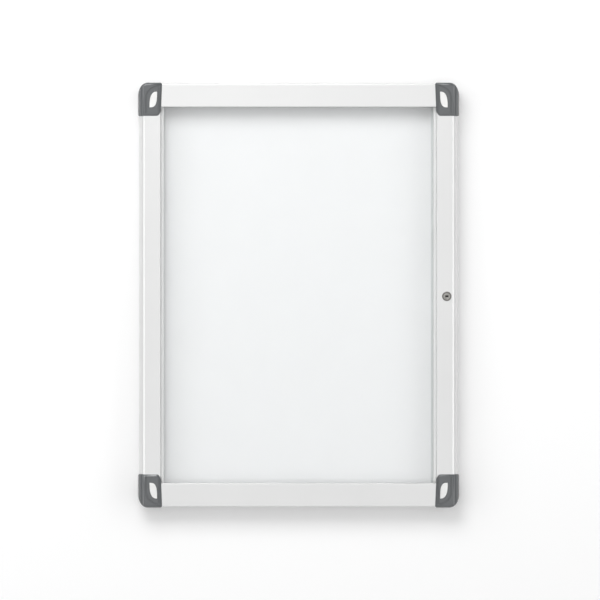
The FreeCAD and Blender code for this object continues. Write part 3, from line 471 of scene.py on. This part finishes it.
def worked(name, stock, steps):
    """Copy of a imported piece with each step's tool joined to it or cut from it."""
    mesh = stock.data.copy()
    face_outwards(mesh, flatten=True)
    piece = placed(name, mesh)
    for operation, tool in steps:
        change = piece.modifiers.new(operation, "BOOLEAN")
        change.operation = operation
        change.solver = "EXACT"
        change.object = tool
    bpy.context.view_layer.update()
    result = piece.evaluated_get(bpy.context.evaluated_depsgraph_get())
    done = bpy.data.meshes.new_from_object(result)
    piece.modifiers.clear()
    piece.data = done
    done.name = name
    face_outwards(done, flatten=True)
    for _, tool in steps:
        bpy.data.objects.remove(tool)
    return piece


def smoothed(piece, angle):
    """Shades smooth all that bends by less than an angle in degrees, flat faces weighing most."""
    piece.data.shade_smooth()
    piece.data.set_sharp_from_angle(angle=math.radians(angle))
    weigh = piece.modifiers.new("weigh", "WEIGHTED_NORMAL")
    weigh.keep_sharp = True
    return piece


def settle(piece, finish, body, slot, *replaced):
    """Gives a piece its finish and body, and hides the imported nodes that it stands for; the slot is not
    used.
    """
    piece.data.materials.clear()
    piece.data.materials.append(finish)
    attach(piece, body)
    if replaced:
        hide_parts(*replaced)


def leaf_outline(grow):
    """Leaf: two bulging quarters of x^p + z^p = 1, each turned half round from the other."""
    wide, high = LEAF_SIZE[0] + 2 * grow, LEAF_SIZE[1] + 2 * grow
    low = np.array(LEAF_CORNER) - grow
    upper, lower = (quarter((0, 0), wide, high, LEAF_STEPS, power)[:-1] for power in LEAF_POWERS)
    return np.concatenate([low + upper, low + (wide, high) - lower])


def leaf_inlay(corner, side, end):
    """Inlay whose rings draw in towards its middle: a wall, a raised rim and a shallow dish."""
    outline = leaf_outline(0.0)
    middle = outline.mean(axis=0)
    rings = [
        np.insert(middle + (outline - middle) * share, 1, depth, axis=1)
        for share, depth in LEAF_RINGS
    ]
    return mirrored(loft("leaf_" + corner, np.array(rings)), side, end)


def face_path():
    """Right and upper edge of the cap's sunk face: straight up, then an arc over the leaf."""
    rise = straight((FACE_RIGHT, FACE_LOW), (FACE_RIGHT, FACE_ARC_FROM), RISE_STEPS)
    middle = (FACE_ARC_MIDDLE, FACE_ARC_FROM)
    arc = quarter(middle, FACE_RIGHT - FACE_ARC_MIDDLE, FACE_ARC_RISE, ARC_STEPS)
    return np.concatenate([rise, arc[arc[:, 0] > FACE_LEFT]])


def groove_section(wide):
    """Groove's section: upright sides that turn in to a flat floor, open above the face."""
    half = wide / 2
    shoulder = (half * SHOULDER_SHARE, GROOVE_FLOOR + SHOULDER_RISE)
    right = [(half, GROOVE_TOP), (half, CAP_FACE), shoulder, (half * FLOOR_SHARE, GROOVE_FLOOR)]
    left = [(-across, depth) for across, depth in reversed(right)]
    return np.array(right + left)


def cap_tools(side, end):
    """What is joined to the plain cap and cut from it: a sunk face, its grooves and the leaf's seat."""
    path = face_path()
    low_left = np.array([(FACE_LEFT, FACE_LOW)])
    face = np.concatenate([low_left, path])
    edge = straight((FACE_LEFT, path[-1, 1]), low_left[0], EDGE_STEPS)
    edge = np.concatenate([edge, low_left])
    leaf_middle = np.array(LEAF_CORNER) + np.array(LEAF_SIZE) / 2
    filler = np.array(LEAF_SIZE) + 2 * FILLER_REACH
    tools = [
        ("UNION", box("filler", leaf_middle, *filler, FILLER_LOW, FILLER_TOP)),
        ("DIFFERENCE", prism("face", face, FACE_FLOOR, CUT_TOP)),
        ("DIFFERENCE", swept("groove", path, groove_section(GROOVE_WIDE))),
        ("DIFFERENCE", swept("edge_groove", edge, groove_section(EDGE_WIDE))),
        ("DIFFERENCE", prism("seat", leaf_outline(LEAF_GAP), LEAF_SEAT, CUT_TOP)),
    ]
    return [(operation, mirrored(tool, side, end)) for operation, tool in tools]


def build_caps():
    """Corner caps with a sunk face, grooves round it and a leaf inlay seated in it."""
    for corner, (side, end) in CORNERS.items():
        node = "corner_cap_" + corner
        cap = worked("cap_" + corner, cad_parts[node], cap_tools(side, end))
        settle(smoothed(cap, CAP_BEND), cap_plastic, "door", "cap_plastic", node)
        leaf = smoothed(leaf_inlay(corner, side, end), LEAF_BEND)
        settle(leaf, inlay_plastic, "door", "inlay_plastic", "leaf_inlay_" + corner)


def build_lock():
    """Round barrel, plug with a raised ring round its keyway, and a black block in the keyway, painted
    shade for its dark depth.
    """
    barrel = turned("barrel", BARREL, LOCK_AXIS)
    settle(smoothed(barrel, BARREL_BEND), nickel, "door", "lock_nickel", "lock_barrel")
    ring = turned("ring", PLUG_RING, LOCK_AXIS)
    keyway = box("keyway", LOCK_AXIS, KEYWAY_WIDE, KEYWAY_HIGH, KEYWAY_LOW, KEYWAY_TOP)
    plug = worked("plug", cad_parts["lock_plug"], [("UNION", ring), ("DIFFERENCE", keyway)])
    settle(smoothed(plug, PLUG_BEND), plug_nickel, "lock", "lock_nickel", "lock_plug")
    # Black block in the keyway: painted shade where the keyway is deep and dark
    wide, high = KEYWAY_WIDE - SHADE_BLOCK_PLAY, KEYWAY_HIGH - SHADE_BLOCK_PLAY
    shade_block = box("keyway_shade_block", LOCK_AXIS, wide, high, SHADE_BLOCK_LOW, SHADE_BLOCK_TOP)
    settle(shade_block, keyway_shade_black, "lock", "block_plastic")


# Wall, floor, lamps and camera
def sheet(name, corners, material):
    """Flat four-sided sheet through its corners, in metres."""
    mesh = bpy.data.meshes.new(name)
    mesh.from_pydata(corners, [], [(0, 1, 2, 3)])
    mesh.materials.append(material)
    placed(name, mesh)


def wall_paint(name, tone, lift):
    """Pale paint that shows white to the camera and keeps the board's shadow.

    It is clear from behind, and to soft light, so that the board's back is lit too.
    """
    shade = Shade(name)
    seen = shade.ray("Camera") + shade.ray("Glossy") + shade.ray("Transmission")
    diffuse = shade.node("ShaderNodeBsdfDiffuse", None, Color=(tone, tone, tone))
    glow = shade.node("ShaderNodeEmission", None, Color=(1.0, 1.0, 1.0), Strength=seen * lift)
    lit = shade.node("ShaderNodeAddShader", None, diffuse, glow)
    clear = shade.node("ShaderNodeBsdfTransparent")
    front = shade.mixed(shade.node("ShaderNodeNewGeometry", output="Backfacing"), lit, clear)
    return shade.finish(shade.mixed(shade.ray("Diffuse"), front, clear))


def build_room():
    """Wall just behind the board and a floor well below it."""
    left, right = -ROOM_WIDE, ROOM_WIDE
    back_edge = [(right, WALL_GAP, ROOM_LOW), (left, WALL_GAP, ROOM_LOW)]
    wall = [*reversed(back_edge), (right, WALL_GAP, ROOM_HIGH), (left, WALL_GAP, ROOM_HIGH)]
    floor = [(left, -ROOM_OUT, ROOM_LOW), (right, -ROOM_OUT, ROOM_LOW), *back_edge]
    sheet("wall", wall, wall_paint("wall_white", WALL_TONE, WALL_LIFT))
    sheet("floor", floor, wall_paint("floor_white", FLOOR_TONE, FLOOR_LIFT))


def softbox(name, across, up, away, wide, high, level):
    """Lamp aimed at the board from two angles in degrees, its level what white paper there shows."""
    across, up = math.radians(across), math.radians(up)
    ahead = math.cos(across) * math.cos(up)
    light = bpy.data.lights.new(name, "AREA")
    light.shape = "RECTANGLE"
    light.size = wide
    light.size_y = high
    light.energy = level * math.pi**2 * away**2 / ahead
    made = placed(name, light)
    made.location = Vector((math.sin(across) * math.cos(up), -ahead, math.sin(up))) * away
    made.rotation_euler = (-made.location).to_track_quat("-Z", "Y").to_euler()
    made.visible_camera = False


def build_light():
    """Soft key from the upper left, a front light, an upright strip at each side and a white room."""
    for name, values in LAMPS.items():
        softbox(name, *values)
    world = bpy.data.worlds.new("room")
    world.use_nodes = True
    back = world.node_tree.nodes["Background"]
    back.inputs["Color"].default_value = (1, 1, 1, 1)
    back.inputs["Strength"].default_value = ROOM_LEVEL
    bpy.context.scene.world = world


def build_camera():
    """Camera straight in front, at the distance at which the lens takes in the view's width."""
    lens = bpy.data.cameras.new("camera")
    lens.lens = LENS
    lens.sensor_width = SENSOR
    away = VIEW_WIDTH * LENS / SENSOR + DOOR_FRONT
    made = placed("camera", lens)
    made.location = (VIEW_CENTRE[0] * MM, -away * MM, VIEW_CENTRE[1] * MM)
    made.rotation_euler = (math.pi / 2, 0, 0)
    bpy.context.scene.camera = made


dress_nodes()
build_caps()
build_lock()
build_room()
build_light()
build_camera()
bpy.context.scene.view_settings.view_transform = "Standard"
